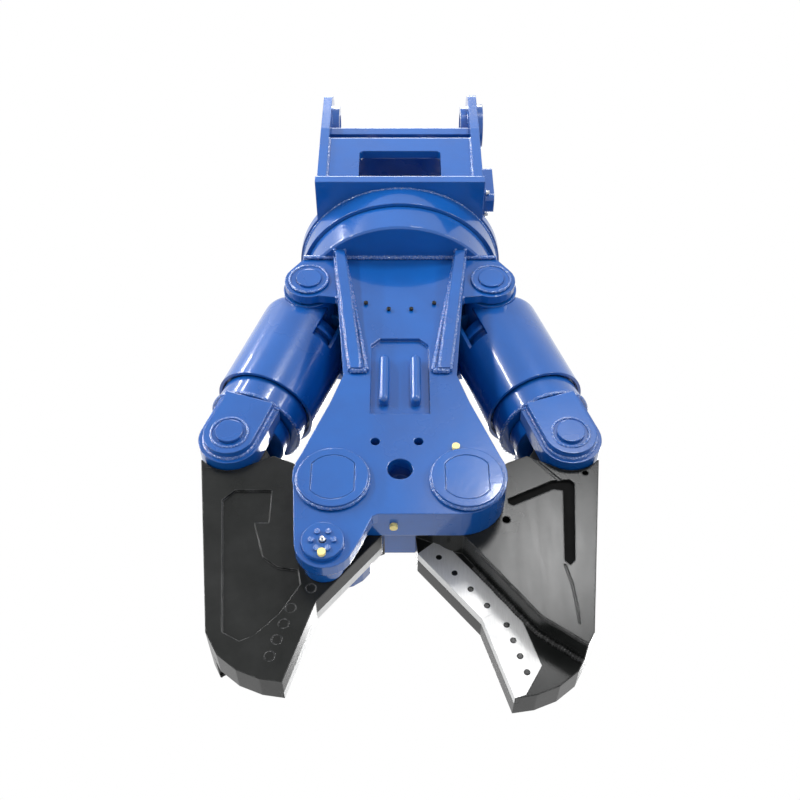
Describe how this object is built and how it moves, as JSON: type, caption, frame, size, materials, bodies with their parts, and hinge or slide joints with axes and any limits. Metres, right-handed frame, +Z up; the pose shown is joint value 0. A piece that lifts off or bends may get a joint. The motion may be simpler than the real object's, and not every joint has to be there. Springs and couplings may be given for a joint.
{
  "type": "hydraulic shear",
  "caption": "Excavator-mounted hydraulic shear: pinned bracket, slewing head, cheek frame and two jaws with bolted blades, each closed by its own guarded cylinder.",
  "frame": {"origin": "centre of the stick pin bore, midway between the two bracket ears", "axes": "+Z up along the slewing axis, +X along the stick pin to the right, +Y away from the face with the guide puck"},
  "size_m": [0.962, 0.624, 1.815],
  "materials": {
    "blue_paint": "two-coat gloss machine enamel over welded plate",
    "black_paint": "satin black enamel over burned plate",
    "blade_steel": "ground hardened blade steel",
    "black_bolts": "black oxide fasteners",
    "bronze": "turned bronze bush",
    "chrome_rod": "hard chrome, polished",
    "machined_steel": "turned and oiled steel",
    "zinc_bolts": "zinc plated fasteners",
    "motor_iron": "dark cast iron housings",
    "yellow_caps": "moulded yellow protective caps"
  },
  "bodies": {
    "bracket": {"left_ear": "blue_paint", "right_ear": "blue_paint", "base_plate": "blue_paint", "front_cross_plate": "blue_paint", "rear_cross_plate": "blue_paint", "cross_bar": "blue_paint", "slew_housing": "blue_paint", "housing_bolts": "zinc_bolts", "bearing_inner_ring": "machined_steel", "bearing_balls": "machined_steel", "slew_motor": "motor_iron", "swivel_stem": "motor_iron", "port_block": "blue_paint", "port_block_bolts": "zinc_bolts"},
    "pinion": {"slew_pinion": "machined_steel"},
    "frame": {"turntable": "blue_paint", "slew_gear_ring": "machined_steel", "gear_ring_bolts": "zinc_bolts", "front_cheek": "blue_paint", "rear_cheek": "blue_paint", "neck_box": "blue_paint", "gusset_ribs": "blue_paint", "lifting_lugs": "blue_paint", "cylinder_ears": "blue_paint", "left_main_pin": "blue_paint", "right_main_pin": "blue_paint", "left_top_pin": "blue_paint", "right_top_pin": "blue_paint", "guide_puck": "blue_paint", "guide_puck_bolts": "black_bolts", "grease_caps": "yellow_caps", "swivel_sleeve": "motor_iron"},
    "left_jaw": {"left_jaw": "black_paint", "left_upper_blade": "blade_steel", "left_lower_blade": "blade_steel", "left_blade_bolts": "black_bolts", "left_rod_pin": "blue_paint", "left_main_bush": "bronze"},
    "left_rod": {"left_rod": "chrome_rod", "left_rod_fork": "blue_paint", "left_piston": "machined_steel"},
    "left_cylinder": {"left_barrel": "blue_paint", "left_gland": "blue_paint", "left_guard": "blue_paint"},
    "right_jaw": {"right_jaw": "black_paint", "right_upper_blade": "blade_steel", "right_lower_blade": "blade_steel", "right_blade_bolts": "black_bolts", "right_rod_pin": "blue_paint", "right_main_bush": "bronze"},
    "right_rod": {"right_rod": "chrome_rod", "right_rod_fork": "blue_paint", "right_piston": "machined_steel"},
    "right_cylinder": {"right_barrel": "blue_paint", "right_gland": "blue_paint", "right_guard": "blue_paint"}
  },
  "joints": [
    {"name": "slew", "type": "hinge", "parent": "bracket", "child": "frame", "pos_m": [0, 0.198, -0.5], "axis": [0, 0, 1], "continuous": true},
    {"name": "pinion_spin", "type": "hinge", "parent": "bracket", "child": "pinion", "pos_m": [-0.12584, 0.35907, -0.45], "axis": [0, 0, 1], "continuous": true},
    {"name": "left_jaw_swing", "type": "hinge", "parent": "frame", "child": "left_jaw", "pos_m": [-0.15, 0.198, -1.281], "axis": [0, -1, 0], "range_deg": [0, 38]},
    {"name": "left_rod_swivel", "type": "hinge", "parent": "left_jaw", "child": "left_rod", "pos_m": [-0.405, 0.198, -1.11], "axis": [0, 1, 0], "range_deg": [0, 36.88]},
    {"name": "left_cylinder_stroke", "type": "slide", "parent": "left_rod", "child": "left_cylinder", "axis": [0.3251, 0, 0.9457], "range_m": [0, 0.1997]},
    {"name": "right_jaw_swing", "type": "hinge", "parent": "frame", "child": "right_jaw", "pos_m": [0.15, 0.198, -1.281], "axis": [0, 1, 0], "range_deg": [0, 38]},
    {"name": "right_rod_swivel", "type": "hinge", "parent": "right_jaw", "child": "right_rod", "pos_m": [0.405, 0.198, -1.11], "axis": [0, -1, 0], "range_deg": [0, 36.88]},
    {"name": "right_cylinder_stroke", "type": "slide", "parent": "right_rod", "child": "right_cylinder", "axis": [-0.3251, 0, 0.9457], "range_m": [0, 0.1997]}
  ],
  "couplings": [
    {"joint": "pinion_spin", "follows": "slew", "ratio": -4.6667},
    {"joint": "left_rod_swivel", "follows": "left_jaw_swing", "ratio": 0.96933},
    {"joint": "left_cylinder_stroke", "follows": "left_jaw_swing", "m_per_rad": 0.30087},
    {"joint": "right_jaw_swing", "follows": "left_jaw_swing", "ratio": 1},
    {"joint": "right_rod_swivel", "follows": "left_jaw_swing", "ratio": 0.96933},
    {"joint": "right_cylinder_stroke", "follows": "left_jaw_swing", "m_per_rad": 0.30087}
  ]
}
